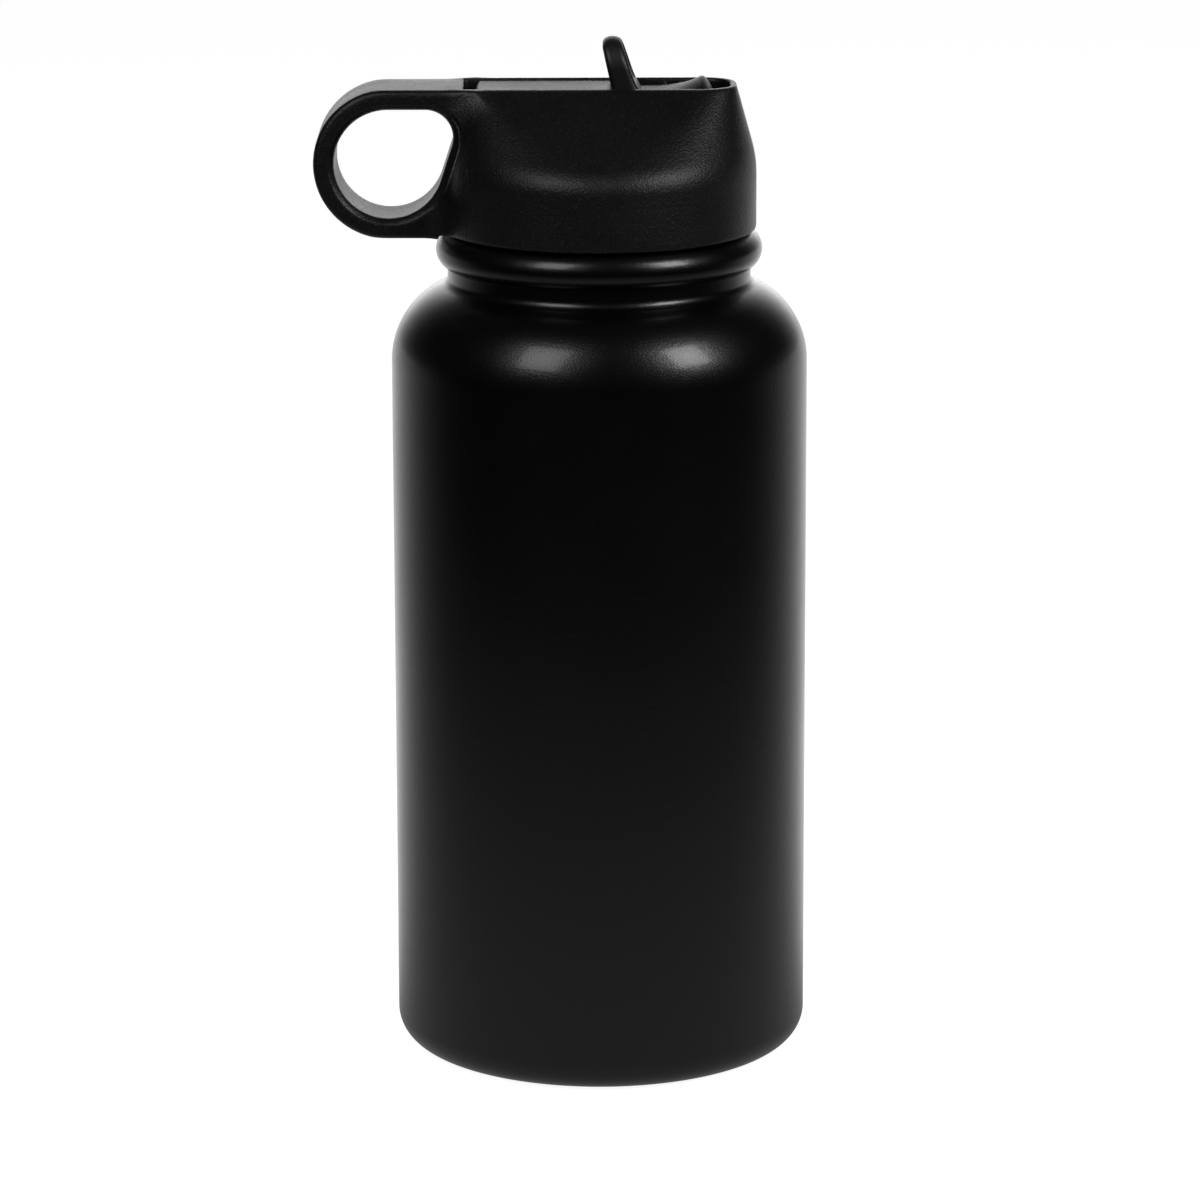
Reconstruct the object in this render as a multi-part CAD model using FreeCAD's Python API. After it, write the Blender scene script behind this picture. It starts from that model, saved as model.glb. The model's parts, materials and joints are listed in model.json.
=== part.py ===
import FreeCAD, Part
import os
from math import acos, atan2, cos, degrees, radians, sin, sqrt

# Vacuum-insulated drinking bottle with a screw lid, a finger loop and a flip-up spout.
# Millimetres. Z is the bottle's axis, Z = 0 is the plane it stands on, and the finger
# loop points to -X. The spout's mouth points to +X and lies in a channel in the lid.

# ---- driving dimensions: bottle ----
body_radius = 45.5
straight_top = 154.8          # where the straight wall turns into the shoulder
shoulder_radius = 18.0
base_fillet = 7.0
shell_wall = 0.6              # outer steel wall
vessel_wall = 0.5             # inner steel wall
vacuum_gap = 2.4
foot_width = 4.0              # flat ring that the bottle stands on
foot_corner = 1.2
recess_height = 3.1           # depth of the hollow inside the foot ring
vessel_floor = 8.0            # underside of the inner base
vessel_corner = 8.0
disc_thickness = 0.8
seal_dimple = 1.2             # how far the base plate rises around its evacuation hole
dimple_radius = 3.6
seal_hole_radius = 0.8
getter_radius = 5.0
getter_height = 2.0
getter_offset = 18.0
clip_strap = 0.3
clip_foot = 3.0
clip_half_width = 1.5
foil_thickness = 0.15
foil_end_gap = 4.0

# ---- driving dimensions: neck and thread ----
neck_step = 1.2               # lid skirt stands out this far beyond the neck
neck_fillet = 2.0
bead_rise = 6.1               # from the foot of the neck to the bead's centre
bead_round = 4.3              # radius of the bead's section
bead_depth = 1.8              # the bead's centre lies this far inside the neck
neck_length = 11.8            # from the lid's lower edge up to the lip
neck_gap = 0.4                # vacuum gap in the neck
thread_pitch = 4.0
thread_turns = 1.5
thread_depth = 1.2
thread_crest = 0.9
thread_base = 2.0
thread_gap = 0.3              # radial clearance at crests and roots
thread_start = 3.4            # neck thread begins this far above the lid's lower edge
thread_sink = 0.25            # the ridge's base lies this far inside its wall

# ---- driving dimensions: lid ----
lid_radius = 34.3
skirt_height = 15.4
wedge_height = 16.1           # from the skirt's top edge to the rim of the channel
skirt_wall = 1.5
rim_half_width = 9.75
rim_end_step = 4.5            # the rim's ends lie this far inside the skirt
rim_corner = 7.0
rim_wall = 1.65
rim_end_angle = 12.0          # half of the skirt's arc that runs up to a rim end, in degrees
rim_side_angle = 42.0         # where the arc that runs up to a rim side begins, in degrees
lid_gap = 0.1                 # above the bead
bead_clearance = 0.4          # finger loop to the bead
sleeve_gap = 0.1
sleeve_wall = 1.3
deck_thickness = 1.5
deck_bevel = 1.1
gasket_thickness = 1.8
plug_gap = 0.65               # plug to the inside of the neck
plug_wall = 1.5
plug_depth = 8.1              # plug wall below the lip
cover_thickness = 1.5
foam_gap = 1.6                # foam to the straw's socket
soft_gap = 0.3                # between soft pieces and what turns around them

# ---- driving dimensions: finger loop ----
loop_radius = 16.3
loop_offset = 11.2            # centre of the loop beyond the skirt
hole_radius = 11.8
hole_corner = 6.0
hole_corner_run = 8.0         # from the hole's centre to the centre of its upper corner
hole_bevel = 1.2
loop_rounding = 0.8

# ---- driving dimensions: channel, spout and straw ----
channel_left_step = 5.0       # channel end inside the skirt, on the loop's side
channel_right_step = 5.8
channel_depth = 11.3
channel_corner = 6.0
floor_thickness = 1.5
pivot_depth = 6.9             # pivot below the rim
pivot_step = 8.8              # pivot from the channel's end
swing_gap = 0.3
hub_radius = 6.3
trunnion_radius = 2.4
trunnion_fit = 0.05
side_gap = 0.3
under_gap = 0.4
bar_drop = 0.4                # top of the bar below the rim
mouth_length = 22.4           # mouthpiece, from the bar's end to its tip
bar_corner = 4.0
bar_edge = 0.8
mouth_radius = 2.4            # bore through the spout
spigot_wall = 0.8
spigot_step = 6.5             # the spigot ends this far behind the tip
tip_gap = 3.0                 # tip to the channel's end
tip_corner = 5.0
mouth_low = 1.0               # bottom of the saddle below the rim
mouth_hump = 1.3              # hump above the rim
hump_back = 3.2               # hump behind the tip
hump_flat = 0.3
saddle_back = 13.5            # bottom of the saddle behind the tip
saddle_radius = 22.0
toe_radius = 1.5
lip_face = 1.5                # upright face of the tip ends this far below the rim
tab_height = 10.3             # above the rim
tab_half_width = 7.0
tab_foot = 4.6                # thickness at the rim
tab_flare = 1.4               # more thickness where it meets the mouthpiece
tab_crest_shift = 0.7         # its crest lies this far behind the bar's end
tab_crest_radius = 1.9
rib_step = 11.1               # the rib starts this far behind the tip
rib_width = 1.2
rib_depth = 0.25
well_gap = 0.5
seal_thickness = 1.4
seal_gap = 0.1
boss_radius = 7.0
seal_radius = 6.8
port_radius = 2.4
socket_radius = 5.4
socket_bore = 4.2
socket_length = 7.4
adapter_fit = 0.1
adapter_groove = 3.2
ring_section = 0.96
adapter_flange = 2.0
nipple_radius = 3.0
nipple_bore = 2.2
nipple_grip = 12.0
straw_fit = 0.05
straw_wall = 0.9
straw_travel = 13.0
straw_end_gap = 4.0
vent_step = 9.5               # vent hole to the channel's end
vent_stem = 1.5
vent_disc = 4.0
vent_disc_thickness = 0.8
vent_head = 2.1
vent_hole = 0.7
vent_holes = 4

# ---- levels and radii worked out from them ----
shell_shoulder_x = body_radius - shoulder_radius
neck_radius = lid_radius - neck_step
neck_reach = neck_radius + neck_fillet - shell_shoulder_x
neck_foot = straight_top + sqrt((shoulder_radius + neck_fillet) ** 2 - neck_reach ** 2)
bead_x = neck_radius - bead_depth
bead_z = neck_foot + bead_rise
lid_bottom = bead_z + bead_round + lid_gap
crease_z = lid_bottom + skirt_height
rim_z = crease_z + wedge_height
lip_z = lid_bottom + neck_length
deck_z = lip_z + gasket_thickness

sleeve_outer = lid_radius - skirt_wall - sleeve_gap
sleeve_inner = sleeve_outer - sleeve_wall
neck_thread_crest = sleeve_inner - thread_gap
neck_thread_root = neck_thread_crest - thread_depth
vessel_neck = neck_thread_root - shell_wall - neck_gap
vessel_radius = body_radius - shell_wall - vacuum_gap
mouth_opening = vessel_neck - vessel_wall
plug_radius = mouth_opening - plug_gap
plug_inner = plug_radius - plug_wall
plug_bottom = lip_z - plug_depth
foot_radius = body_radius - base_fillet
recess_radius = foot_radius - foot_width
plate_z = recess_height - shell_wall

channel_half = rim_half_width - rim_wall
channel_left = -(lid_radius - channel_left_step)
channel_right = lid_radius - channel_right_step
channel_floor = rim_z - channel_depth
pivot_x = channel_left + pivot_step
pivot_z = rim_z - pivot_depth
arm_half = channel_half - side_gap
arm_bottom = channel_floor + under_gap
bar_top = rim_z - bar_drop
tip_end = channel_right - tip_gap
bar_end = tip_end - mouth_length
spigot_end = tip_end - spigot_step
rib_place = tip_end - rib_step
vent_place = channel_right - vent_step
foam_radius = -pivot_x - socket_radius - foam_gap
well_floor = pivot_z - hub_radius - well_gap
well_end = pivot_x + boss_radius + 2 * side_gap
seal_top = pivot_z - hub_radius - seal_gap
boss_top = seal_top - seal_thickness
loop_x = -(lid_radius + loop_offset)
loop_z = rim_z - loop_radius
socket_bottom = deck_z - socket_length
straw_top = plug_bottom - cover_thickness - soft_gap
straw_bottom = vessel_floor + vessel_wall + straw_travel + straw_end_gap
wall_outside = channel_half + floor_thickness
ring_z = (socket_bottom + deck_z) / 2
deck_top = deck_z + deck_thickness
cover_bottom = plug_bottom - cover_thickness

EPS = 1e-6


# ---- drawing helpers ----
def corner_ends(item):
    """First and last (x, z) of one outline item: a corner point, or an arc."""
    if len(item) == 2:
        return item, item
    x, z, radius, start, stop = item
    ends = []
    for angle in (start, stop):
        ends.append((x + radius * cos(radians(angle)), z + radius * sin(radians(angle))))
    return ends[0], ends[1]


def outline(items, y=0.0):
    """Closed wire in an XZ plane through corners (x, z) and arcs (x, z, radius, from, to)."""
    edges = []
    for index, item in enumerate(items):
        first, last = corner_ends(item)
        if len(item) == 5:
            x, z, radius, start, stop = item
            middle = radians((start + stop) / 2)
            through = FreeCAD.Vector(x + radius * cos(middle), y, z + radius * sin(middle))
            ends = [FreeCAD.Vector(p[0], y, p[1]) for p in (first, last)]
            edges.append(Part.Arc(ends[0], through, ends[1]).toShape())
        following = corner_ends(items[(index + 1) % len(items)])[0]
        start_point = FreeCAD.Vector(last[0], y, last[1])
        end_point = FreeCAD.Vector(following[0], y, following[1])
        if start_point.distanceToPoint(end_point) > EPS:
            edges.append(Part.makeLine(start_point, end_point))
    return Part.Wire(edges)


def backwards(items):
    """The same outline items, walked from the other end."""
    turned = []
    for item in reversed(items):
        if len(item) == 5:
            item = item[:3] + (item[4], item[3])
        turned.append(item)
    return turned


def turned_solid(items):
    """Solid of revolution about Z."""
    face = Part.Face(outline(items))
    return face.revolve(FreeCAD.Vector(0, 0, 0), FreeCAD.Vector(0, 0, 1), 360)


def slab(items, half_width):
    """XZ outline made solid from y = -half_width to y = +half_width."""
    face = Part.Face(outline(items, -half_width))
    return face.extrude(FreeCAD.Vector(0, 2 * half_width, 0))


def cylinder(radius, bottom, top, x=0.0, y=0.0):
    """Upright cylinder between two heights."""
    return Part.makeCylinder(radius, top - bottom, FreeCAD.Vector(x, y, bottom))


def cross_cylinder(radius, half_width, x, z):
    """Cylinder along Y, centred on the XZ plane."""
    start = FreeCAD.Vector(x, -half_width, z)
    return Part.makeCylinder(radius, 2 * half_width, start, FreeCAD.Vector(0, 1, 0))


def block(x0, x1, half_width, z0, z1):
    """Box centred on the XZ plane."""
    corner = FreeCAD.Vector(x0, -half_width, z0)
    return Part.makeBox(x1 - x0, 2 * half_width, z1 - z0, corner)


def arc_xy(x, y, z, radius, start, stop):
    """Arc at one height, angles in degrees."""
    points = []
    for angle in (start, (start + stop) / 2, stop):
        turn = radians(angle)
        points.append(FreeCAD.Vector(x + radius * cos(turn), y + radius * sin(turn), z))
    return Part.Arc(*points).toShape()


def rounded_rectangle(x0, x1, half_width, corner, z):
    """Level wire with four rounded corners."""
    edges = []
    places = (
        (x1 - corner, half_width - corner, 0),
        (x0 + corner, half_width - corner, 90),
        (x0 + corner, corner - half_width, 180),
        (x1 - corner, corner - half_width, 270),
    )
    arcs = [arc_xy(x, y, z, corner, turn, turn + 90) for x, y, turn in places]
    for index, arc in enumerate(arcs):
        edges.append(arc)
        following = arcs[(index + 1) % len(arcs)]
        edges.append(Part.makeLine(arc.Vertexes[-1].Point, following.Vertexes[0].Point))
    return Part.Wire(edges)


def split_circle(radius, z, end_angle, side_angle):
    """Level circle cut into the same eight stretches as a rounded rectangle."""
    marks = [end_angle, side_angle, 180 - side_angle, 180 - end_angle]
    marks += [180 + mark for mark in marks]
    marks.append(marks[0] + 360)
    return Part.Wire([arc_xy(0, 0, z, radius, a, b) for a, b in zip(marks, marks[1:])])


def upright(wire, height):
    """Level wire made solid upwards."""
    return Part.Face(wire).extrude(FreeCAD.Vector(0, 0, height))


def thread_ridge(base_radius, crest_radius, bottom):
    """Right-hand ridge swept along a helix, its base sunk a little into its wall."""
    sunk = thread_sink if base_radius > crest_radius else -thread_sink
    flank = (thread_base - thread_crest) / 2 / abs(base_radius - crest_radius)
    half_base = thread_base / 2 + flank * abs(sunk)
    half_crest = thread_crest / 2
    corners = [
        FreeCAD.Vector(base_radius + sunk, 0, bottom - half_base),
        FreeCAD.Vector(crest_radius, 0, bottom - half_crest),
        FreeCAD.Vector(crest_radius, 0, bottom + half_crest),
        FreeCAD.Vector(base_radius + sunk, 0, bottom + half_base),
    ]
    profile = Part.makePolygon(corners + corners[:1])
    helix = Part.makeHelix(thread_pitch, thread_pitch * thread_turns, base_radius)
    helix.translate(FreeCAD.Vector(0, 0, bottom))
    return Part.Wire(helix.Edges).makePipeShell([profile], True, True)


# ---- bottle ----
def shell_side(inset):
    """Outside of the outer shell from the foot recess to the neck, set in by a distance."""
    join = degrees(atan2(neck_foot - straight_top, neck_reach))
    bead = bead_round - inset
    low = degrees(acos((neck_radius - inset - bead_x) / bead))
    high = degrees(acos((neck_thread_root - inset - bead_x) / bead))
    return [
        (recess_radius + inset, recess_height),
        (recess_radius + foot_corner, foot_corner, foot_corner - inset, 180, 270),
        (foot_radius, base_fillet, base_fillet - inset, 270, 360),
        (shell_shoulder_x, straight_top, shoulder_radius - inset, 0, join),
        (neck_radius + neck_fillet, neck_foot, neck_fillet + inset, 180 + join, 180),
        (bead_x, bead_z, bead, -low, high),
        (neck_thread_root - inset, lip_z - shell_wall),
    ]


def outer_shell():
    """Straight wall, shoulder, neck, bead and threaded top in one drawn shell."""
    wall = turned_solid(shell_side(0) + backwards(shell_side(shell_wall)))
    ridge = thread_ridge(neck_thread_root, neck_thread_crest, lid_bottom + thread_start)
    return wall.fuse(ridge)


def vessel_side(inset):
    """Outside of the inner vessel from its base weld to the neck, set in by a distance."""
    shoulder = vessel_radius - shell_shoulder_x
    reach = vessel_neck + neck_fillet - shell_shoulder_x
    rise = sqrt((shoulder + neck_fillet) ** 2 - reach ** 2)
    join = degrees(atan2(rise, reach))
    return [
        (vessel_radius - inset, vessel_floor + vessel_corner),
        (shell_shoulder_x, straight_top, shoulder - inset, 0, join),
        (vessel_neck + neck_fillet, straight_top + rise, neck_fillet + inset, 180 + join, 180),
    ]


def inner_vessel():
    """Inner wall, with a lip that is welded over the top of the outer neck."""
    lip_under = lip_z - shell_wall
    lip = [
        (vessel_neck, lip_under),
        (neck_thread_root, lip_under),
        (neck_thread_root, lip_z),
        (mouth_opening, lip_z),
    ]
    return turned_solid(vessel_side(0) + lip + backwards(vessel_side(vessel_wall)))


def inner_base():
    """Dished base, butt welded to the vessel."""
    x = vessel_radius - vessel_corner
    z = vessel_floor + vessel_corner
    return turned_solid([
        (0, vessel_floor),
        (x, z, vessel_corner, 270, 360),
        (x, z, vessel_corner - vessel_wall, 360, 270),
        (0, vessel_floor + vessel_wall),
    ])


def outer_base():
    """Plate in the foot recess, raised to a dimple around the evacuation hole."""
    slope_end = dimple_radius + seal_dimple
    return turned_solid([
        (seal_hole_radius, plate_z + seal_dimple),
        (dimple_radius, plate_z + seal_dimple),
        (slope_end, plate_z),
        (recess_radius, plate_z),
        (recess_radius, recess_height),
        (slope_end + shell_wall / 2, recess_height),
        (dimple_radius + shell_wall / 2, recess_height + seal_dimple),
        (seal_hole_radius, recess_height + seal_dimple),
    ])


def vacuum_seal():
    """Glass bead that fills the dimple and the evacuation hole."""
    bead = dimple_radius - soft_gap
    bottom = plate_z + soft_gap
    return turned_solid([
        (0, bottom),
        (bead, bottom),
        (bead, plate_z + seal_dimple),
        (seal_hole_radius, plate_z + seal_dimple),
        (seal_hole_radius, recess_height + seal_dimple),
        (0, recess_height + seal_dimple),
    ])


def base_disc():
    """Disc that covers the seal inside the foot ring."""
    return cylinder(recess_radius - soft_gap, plate_z - disc_thickness, plate_z)


def getter():
    """Pellet that keeps the vacuum clean."""
    return cylinder(getter_radius, recess_height, recess_height + getter_height, getter_offset)


def getter_clip():
    """Strap over the pellet, spot welded to the base plate at both ends."""
    reach = getter_radius + clip_strap
    top = recess_height + getter_height
    left = getter_offset - reach
    right = getter_offset + reach
    return slab([
        (left - clip_foot, recess_height),
        (left, recess_height),
        (left, top),
        (right, top),
        (right, recess_height),
        (right + clip_foot, recess_height),
        (right + clip_foot, recess_height + clip_strap),
        (right + clip_strap, recess_height + clip_strap),
        (right + clip_strap, top + clip_strap),
        (left - clip_strap, top + clip_strap),
        (left - clip_strap, recess_height + clip_strap),
        (left - clip_foot, recess_height + clip_strap),
    ], clip_half_width)


def radiation_foil():
    """Copper foil wrapped round the straight part of the inner vessel."""
    inner = vessel_radius + foil_thickness
    bottom = vessel_floor + vessel_corner + foil_end_gap
    top = straight_top - foil_end_gap
    wrap = cylinder(inner + foil_thickness, bottom, top)
    return wrap.cut(cylinder(inner, bottom, top))


# ---- lid ----
def lid_form(radius, bottom, shoulder, half_length, half_width, corner, top):
    """Cylinder that narrows in straight lines to a level rounded rectangle."""
    round_wire = split_circle(radius, shoulder, rim_end_angle, rim_side_angle)
    rim_wire = rounded_rectangle(-half_length, half_length, half_width, corner, top)
    wedge = Part.makeLoft([round_wire, rim_wire], True, True)
    return cylinder(radius, bottom, shoulder).fuse(wedge)


def hole_items(grow):
    """Finger hole: a large arc and a smaller upper corner, joined by a level and a slanted line."""
    rise = hole_radius - hole_corner
    span = sqrt(hole_corner_run ** 2 + rise ** 2)
    slant = degrees(atan2(rise, hole_corner_run) - acos(rise / span))
    return [
        (loop_x, loop_z, hole_radius + grow, 90, 360 + slant),
        (loop_x + hole_corner_run, loop_z + rise, hole_corner + grow, slant, 90),
    ]


def finger_loop():
    """Slab with round outer edges and a bevelled finger hole."""
    end = channel_left + rim_wall
    plate = slab([
        (end, rim_z),
        (loop_x, loop_z, loop_radius, 90, 270),
        (end, loop_z - loop_radius),
    ], rim_half_width)
    rims = []
    for edge in plate.Edges:
        box = edge.BoundBox
        flat = box.YLength < EPS and box.XMin < end - EPS
        if flat:
            rims.append(edge)
    plate = plate.makeFillet(loop_rounding, rims)
    plate = plate.cut(slab(hole_items(0), rim_half_width))
    for side in (-1, 1):
        wide = outline(hole_items(hole_bevel), side * rim_half_width)
        narrow = outline(hole_items(0), side * (rim_half_width - hole_bevel))
        plate = plate.cut(Part.makeLoft([wide, narrow], True, True))
    return plate


def channel_blocks(grow, left, top):
    """Channel and the deeper well under the spout's hub, larger all round by a wall."""
    half = channel_half + grow
    lane = block(left, channel_right + grow, half, channel_floor - grow, top)
    well = block(left, well_end + grow, half, well_floor - grow, top)
    return lane.fuse(well)


def lid_cavity():
    """Space under the wedge and inside the skirt, clear of the channel and the finger hole."""
    inner_radius = lid_radius - skirt_wall
    below = lid_bottom - loop_radius
    inner_crease = crease_z - skirt_wall / 2
    side_slope = wedge_height / (lid_radius - rim_half_width)
    top = inner_crease + side_slope * (inner_radius - wall_outside)
    end_step = rim_end_step * (top - crease_z) / wedge_height
    half_length = lid_radius - end_step - skirt_wall
    corner = rim_corner - skirt_wall
    space = lid_form(
        inner_radius, below, inner_crease, half_length, wall_outside, corner, top
    )
    space = space.cut(channel_blocks(floor_thickness, -lid_radius, rim_z))
    guard = slab(hole_items(skirt_wall), rim_half_width)
    guard = guard.cut(cylinder(inner_radius, below, deck_top))
    return space.cut(guard)


def lid_shell():
    """Skirt, wedge, channel and finger loop in one moulding."""
    half_length = lid_radius - rim_end_step
    form = lid_form(
        lid_radius, lid_bottom, crease_z, half_length, rim_half_width, rim_corner, rim_z
    )
    form = form.fuse(finger_loop())
    bead_room = cylinder(bead_x + bead_round + bead_clearance, bead_z, lid_bottom)
    form = form.cut(bead_room).cut(lid_cavity())
    left = channel_left - channel_corner
    lane = rounded_rectangle(left, channel_right, channel_half, channel_corner, channel_floor)
    lane = upright(lane, channel_depth + 1)
    lane = lane.common(block(channel_left, channel_right, channel_half, channel_floor, rim_z + 1))
    well = block(channel_left, well_end, channel_half, well_floor, channel_floor)
    form = form.cut(lane.fuse(well))
    form = form.cut(cross_cylinder(trunnion_radius + trunnion_fit, wall_outside, pivot_x, pivot_z))
    form = form.cut(cylinder(boss_radius + 2 * sleeve_gap, boss_top - 1, well_floor + 1, pivot_x))
    form = form.cut(cylinder(vent_stem, channel_floor - 2, channel_floor + 1, vent_place))
    for side in (-1, 1):
        form = form.fuse(detent_rib(side))
    return form


def detent_rib(side):
    """Small upright rib that holds the closed spout by its flank."""
    inside = side * (channel_half - rib_depth)
    outside = side * (channel_half + rib_depth)
    corner = FreeCAD.Vector(rib_place - rib_width / 2, min(inside, outside), pivot_z)
    return Part.makeBox(rib_width, 2 * rib_depth, pivot_depth - bar_drop, corner)


def lid_core():
    """Threaded sleeve, deck and plug wall, with the boss and the socket of the straw's port."""
    sleeve_bottom = lid_bottom + 2 * lid_gap
    core = turned_solid([
        (plug_inner, plug_bottom),
        (plug_radius, plug_bottom),
        (plug_radius, deck_z),
        (sleeve_inner, deck_z),
        (sleeve_inner, sleeve_bottom),
        (sleeve_outer, sleeve_bottom),
        (sleeve_outer, deck_top - deck_bevel),
        (sleeve_outer - skirt_wall, deck_top),
        (0, deck_top),
        (0, deck_z),
        (plug_inner, deck_z),
    ])
    thread_z = lid_bottom + thread_start - thread_pitch / 2
    core = core.fuse(thread_ridge(sleeve_inner, neck_thread_root + thread_gap, thread_z))
    core = core.fuse(cylinder(boss_radius, deck_z, boss_top, pivot_x))
    core = core.fuse(cylinder(socket_radius, socket_bottom, deck_z, pivot_x))
    core = core.cut(cylinder(socket_bore, socket_bottom, deck_top, pivot_x))
    core = core.cut(cylinder(port_radius, deck_z, boss_top, pivot_x))
    core = core.cut(cylinder(vent_stem, deck_z, deck_top, vent_place))
    return core.cut(vent_ring(deck_z, deck_top))


def vent_ring(bottom, top):
    """Air holes around the vent valve's stem."""
    reach = (vent_stem + vent_disc) / 2
    holes = []
    for index in range(vent_holes):
        turn = radians(45 + 360 * index / vent_holes)
        x = vent_place + reach * cos(turn)
        holes.append(cylinder(vent_hole, bottom, top, x, reach * sin(turn)))
    return Part.makeCompound(holes)


def plug_cover():
    """Disc that closes the plug, with the nipple's hole and air holes."""
    cover = cylinder(plug_radius, cover_bottom, plug_bottom)
    passage = nipple_radius + 2 * adapter_fit
    cover = cover.cut(cylinder(passage, cover_bottom, plug_bottom, pivot_x))
    return cover.cut(vent_ring(cover_bottom, plug_bottom))


def lid_foam():
    """Round puck of insulation inside the plug."""
    return cylinder(foam_radius, plug_bottom + soft_gap, deck_z - soft_gap)


def lid_gasket():
    """Flat ring between the bottle's lip and the deck."""
    inner = plug_radius + sleeve_gap
    outer = sleeve_inner - sleeve_gap
    ring = cylinder(outer, lip_z, deck_z)
    return ring.cut(cylinder(inner, lip_z, deck_z))


def hub_seal():
    """Soft ring between the core's boss and the spout's hub."""
    ring = cylinder(seal_radius, boss_top, seal_top, pivot_x)
    return ring.cut(cylinder(port_radius, boss_top, seal_top, pivot_x))


def straw_adapter():
    """Plug-in tube with a flange, a ring groove and the nipple that the straw pushes onto."""
    radius = socket_bore - adapter_fit
    top = deck_top - adapter_fit
    flange_bottom = socket_bottom - adapter_flange
    tip = straw_top - nipple_grip
    body = cylinder(radius, socket_bottom, top, pivot_x)
    body = body.fuse(cylinder(socket_radius, flange_bottom, socket_bottom, pivot_x))
    body = body.fuse(cylinder(nipple_radius, tip, flange_bottom, pivot_x))
    low = ring_z - ring_section
    high = ring_z + ring_section
    groove = cylinder(socket_bore, low, high, pivot_x)
    groove = groove.cut(cylinder(adapter_groove, low, high, pivot_x))
    return body.cut(groove).cut(cylinder(nipple_bore, tip, top, pivot_x))


def adapter_ring():
    """Round-section ring in the adapter's groove."""
    middle = (adapter_groove + socket_bore) / 2
    return Part.makeTorus(middle, ring_section / 2, FreeCAD.Vector(pivot_x, 0, ring_z))


def vent_valve():
    """Umbrella valve: a disc under the deck, a stem through it and a head above."""
    valve = cylinder(vent_disc, deck_z - vent_disc_thickness, deck_z, vent_place)
    valve = valve.fuse(cylinder(vent_stem, deck_z, deck_top, vent_place))
    return valve.fuse(cylinder(vent_head, deck_top, deck_top + vent_disc_thickness, vent_place))


# ---- spout and straw ----
def spout_bore(start, end):
    """Straight passage through the spout, at the pivot's height."""
    place = FreeCAD.Vector(start, 0, pivot_z)
    return Part.makeCylinder(mouth_radius, end - start, place, FreeCAD.Vector(1, 0, 0))


def spigot(end):
    """Round spigot inside the mouthpiece."""
    radius = mouth_radius + spigot_wall
    place = FreeCAD.Vector(bar_end, 0, pivot_z)
    return Part.makeCylinder(radius, end - bar_end, place, FreeCAD.Vector(1, 0, 0))


def spout_arm():
    """Hard bar with its hub, trunnions and spigot."""
    swing = pivot_step - swing_gap
    under = degrees(acos((pivot_z - arm_bottom) / hub_radius)) + 270
    over = 180 - degrees(acos(sqrt(swing ** 2 - (bar_top - pivot_z) ** 2) / swing))
    side = 180 - degrees(acos(hub_radius / swing))
    arm = slab([
        (pivot_x, pivot_z, hub_radius, 180, under),
        (bar_end, arm_bottom),
        (bar_end - bar_edge, bar_top - bar_edge, bar_edge, 0, 90),
        (pivot_x, pivot_z, swing, over, side),
    ], arm_half)
    left = pivot_x - hub_radius
    plan = rounded_rectangle(left, bar_end + bar_corner, arm_half, bar_corner, well_floor)
    arm = arm.common(upright(plan, rim_z - well_floor))
    reach = wall_outside - 2 * sleeve_gap
    arm = arm.fuse(cross_cylinder(trunnion_radius, reach, pivot_x, pivot_z))
    arm = arm.fuse(spigot(spigot_end))
    return arm.cut(spout_bore(left - 1, spigot_end + 1))


def mouthpiece():
    """Soft saddle-shaped mouth with its upright thumb tab."""
    low = rim_z - mouth_low
    hump = rim_z + mouth_hump
    hump_x = tip_end - hump_back
    dip_x = tip_end - saddle_back
    turn = degrees(atan2(hump_x - dip_x, saddle_radius))
    body = slab([
        (bar_end, arm_bottom),
        (tip_end - toe_radius, arm_bottom + toe_radius, toe_radius, 270, 360),
        (tip_end, rim_z - lip_face),
        (hump_x + hump_flat, hump),
        (hump_x - hump_flat, hump),
        (dip_x, low + saddle_radius, saddle_radius, 270 + turn, 270),
        (bar_end, low),
    ], arm_half)
    plan = rounded_rectangle(bar_end - 2 * tip_corner, tip_end, arm_half, tip_corner, arm_bottom)
    body = body.common(upright(plan, hump - arm_bottom))
    body = body.fuse(thumb_tab(low))
    return body.cut(spigot(spigot_end)).cut(spout_bore(bar_end - 1, tip_end + 1))


def thumb_tab(low):
    """Tongue that leans back over the bar, rounded at its top."""
    crest = rim_z + tab_height
    crest_x = bar_end - tab_crest_shift
    foot_end = bar_end + tab_foot
    tongue = slab([
        (bar_end, low - 1),
        (bar_end, low),
        (crest_x, crest - tab_crest_radius, tab_crest_radius, 195, 20),
        (foot_end, rim_z),
        (foot_end + tab_flare, low),
        (foot_end + tab_flare, low - 1),
    ], tab_half_width)
    shoulder = crest - tab_half_width
    left = crest_x - tab_height
    right = crest_x + tab_height
    face = Part.makeCylinder(
        tab_half_width, right - left, FreeCAD.Vector(left, 0, shoulder), FreeCAD.Vector(1, 0, 0)
    )
    face = face.fuse(block(left, right, tab_half_width, low - 1, shoulder))
    return tongue.common(face)


def straw():
    """Straight tube on the adapter's nipple."""
    bore = nipple_radius + straw_fit
    tube = cylinder(bore + straw_wall, straw_bottom, straw_top, pivot_x)
    return tube.cut(cylinder(bore, straw_bottom, straw_top, pivot_x))


pieces = [
    outer_shell, inner_vessel, inner_base, outer_base, vacuum_seal, base_disc, getter,
    getter_clip, radiation_foil, lid_shell, lid_core, plug_cover, lid_foam, lid_gasket,
    hub_seal, straw_adapter, adapter_ring, vent_valve, spout_arm, mouthpiece, straw,
]

os.makedirs("parts", exist_ok=True)
for piece in pieces:
    shape = piece().removeSplitter()
    name = piece.__name__
    print(name, shape.isValid(), len(shape.Solids), round(shape.Volume, 1))
    shape.exportStep("parts/" + name + ".step")
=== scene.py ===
import json
import math

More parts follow.
